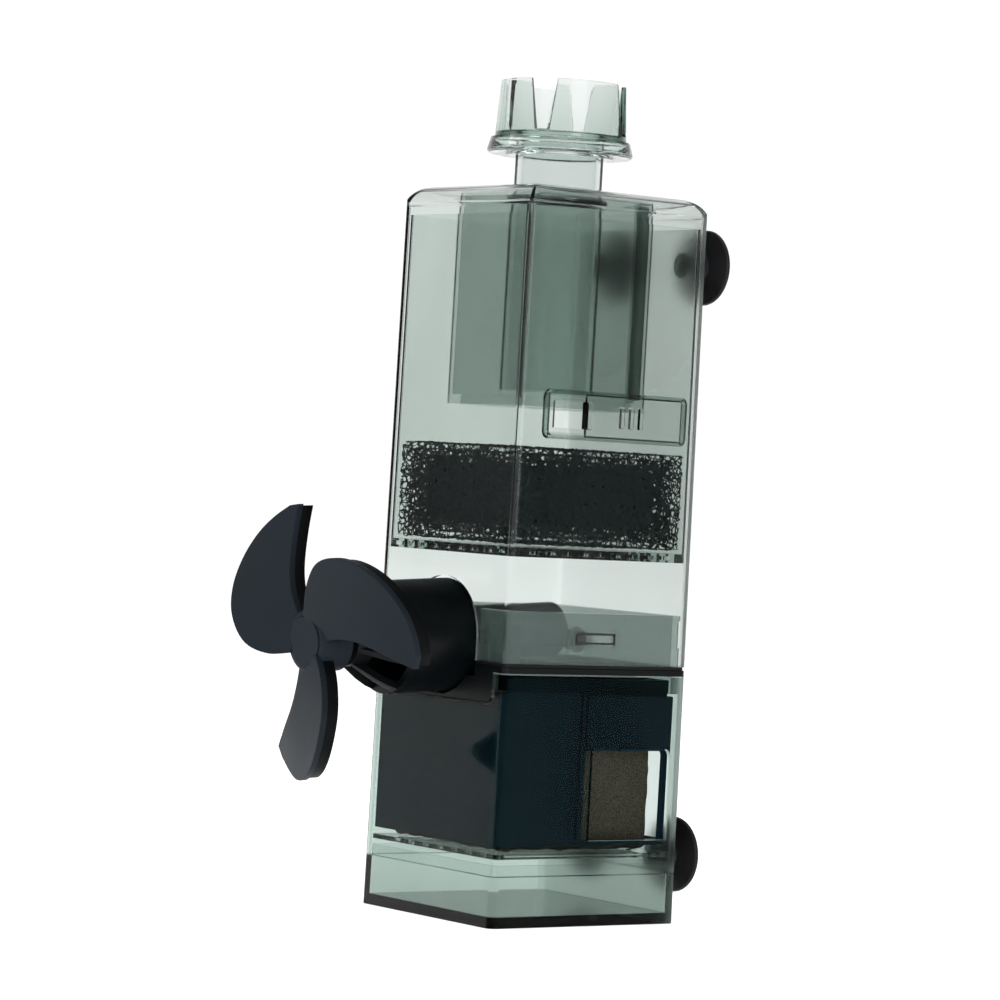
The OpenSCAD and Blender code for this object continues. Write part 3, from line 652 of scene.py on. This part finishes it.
def latch_rim(node, side):
    """The dark outline of a latch: a thin rounded frame round its plate."""
    low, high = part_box(node)
    half, bottom, top, wide, thick, corner = 8.4 * MM, 94.1 * MM, 97.9 * MM, 0.7 * MM, 0.8 * MM, 1.2 * MM
    face = high.x if side > 0 else low.x
    bm = bmesh.new()
    loops = []
    for x in (face - side * thick, face - side * 0.02 * MM):
        for shrink in (0, wide):
            outline = rounded_outline(half - shrink, bottom + shrink, top - shrink, corner - shrink / 2)
            loops.append([bm.verts.new((x, across, up)) for across, up in outline])
    inner_out, inner_in, front_out, front_in = loops
    strips = ((front_out, front_in), (front_in, inner_in), (inner_in, inner_out), (inner_out, front_out))
    for a, b in strips:
        for k in range(len(a)):
            n = (k + 1) % len(a)
            bm.faces.new((a[k], a[n], b[n], b[k]))
    bmesh.ops.recalc_face_normals(bm, faces=bm.faces)
    obj = piece_from(node + "_rim", bm)
    smooth_by_angle(obj, 40)
    dress(obj, node, "black_rubber")


chamber_post()
latch_rim("latch_left", -1)
latch_rim("latch_right", 1)


# ---------------------------------------------------------------- stage, light and camera

def floor():
    """A pale disc just under the base, with a little light of its own."""
    bm = bmesh.new()
    radius = 6.0
    rim = 96
    bm.faces.new([bm.verts.new((*polar(radius, math.tau * i / rim), 0)) for i in range(rim)])
    obj = piece_from("floor", bm)
    obj.location.z = -0.0002
    nodes, links, out = new_material("pale_floor")
    shader = nodes.new("ShaderNodeBsdfPrincipled")
    shader.inputs["Roughness"].default_value = 0.9
    shader.inputs["Specular IOR Level"].default_value = 0.1
    pale = ramp(nodes, links, noise(nodes, links, 3), (0.90, 0.90, 0.90), (0.93, 0.93, 0.93))
    links.new(pale, shader.inputs["Base Color"])
    shader.inputs["Emission Color"].default_value = (1, 1, 1, 1)
    shader.inputs["Emission Strength"].default_value = 0.75
    links.new(shader.outputs[0], out.inputs["Surface"])
    obj.data.materials.append(MATS["pale_floor"])


def area(name, place, target, size, power):
    """A rectangular light at place, turned towards target."""
    light = bpy.data.lights.new(name, "AREA")
    light.shape = "RECTANGLE"
    light.size, light.size_y = size
    light.energy = power
    obj = bpy.data.objects.new(name, light)
    obj.location = place
    obj.rotation_euler = (Vector(target) - Vector(place)).to_track_quat("-Z", "Y").to_euler()
    bpy.context.scene.collection.objects.link(obj)


def world(bright, dim):
    """A white studio, bright along the line the product is shown from and dim to either side of it."""
    scene_world = bpy.data.worlds.new("studio")
    bpy.context.scene.world = scene_world
    scene_world.use_nodes = True
    nodes, links = scene_world.node_tree.nodes, scene_world.node_tree.links
    coord = nodes.new("ShaderNodeTexCoord")
    along = nodes.new("ShaderNodeVectorMath")
    along.operation = "DOT_PRODUCT"
    along.inputs[1].default_value = (0.793, -0.609, 0.0)
    links.new(coord.outputs["Generated"], along.inputs[0])
    size = nodes.new("ShaderNodeMath")
    size.operation = "ABSOLUTE"
    links.new(along.outputs["Value"], size.inputs[0])
    fade = nodes.new("ShaderNodeMapRange")
    fade.interpolation_type = "SMOOTHSTEP"
    fade.inputs["From Min"].default_value = 0.45
    fade.inputs["From Max"].default_value = 0.90
    fade.inputs["To Min"].default_value = dim
    fade.inputs["To Max"].default_value = bright
    links.new(size.outputs[0], fade.inputs["Value"])
    back = nodes["Background"]
    back.inputs["Color"].default_value = (1, 1, 1, 1)
    links.new(fade.outputs["Result"], back.inputs["Strength"])


def camera():
    """The studio camera: level with the middle of the body, and rolled a little."""
    azimuth, elevation, roll = math.radians(52.51), math.radians(0.39), math.radians(3.25)
    side, up, away = -0.00567, 0.141, 1.35167      # the camera's place across, up and away, in metres
    flat = math.cos(elevation)
    back = Vector((math.sin(azimuth) * flat, -math.cos(azimuth) * flat, math.sin(elevation)))
    right = Vector((0, 0, 1)).cross(back).normalized()
    top = back.cross(right)
    across = math.cos(roll) * right + math.sin(roll) * top
    above = -math.sin(roll) * right + math.cos(roll) * top
    cam = bpy.data.cameras.new("camera")
    cam.sensor_width = 36
    cam.lens = 142.5
    cam.clip_start = 0.05
    obj = bpy.data.objects.new("camera", cam)
    turn = Matrix((across, above, back)).transposed().to_4x4()
    obj.matrix_world = Matrix.Translation(across * side + above * up + back * away) @ turn
    bpy.context.scene.collection.objects.link(obj)
    bpy.context.scene.camera = obj


floor()
world(1.05, 0.12)
area("key", (-0.9, -1.5, 1.1), (0, 0, 0.12), (0.9, 0.9), 14)
area("fill", (1.6, -0.2, 0.7), (0, 0, 0.14), (0.8, 1.2), 8)
area("top", (0.1, 0.1, 1.6), (0, 0, 0.2), (0.8, 0.8), 6)
camera()
bpy.context.scene.view_settings.view_transform = "Standard"
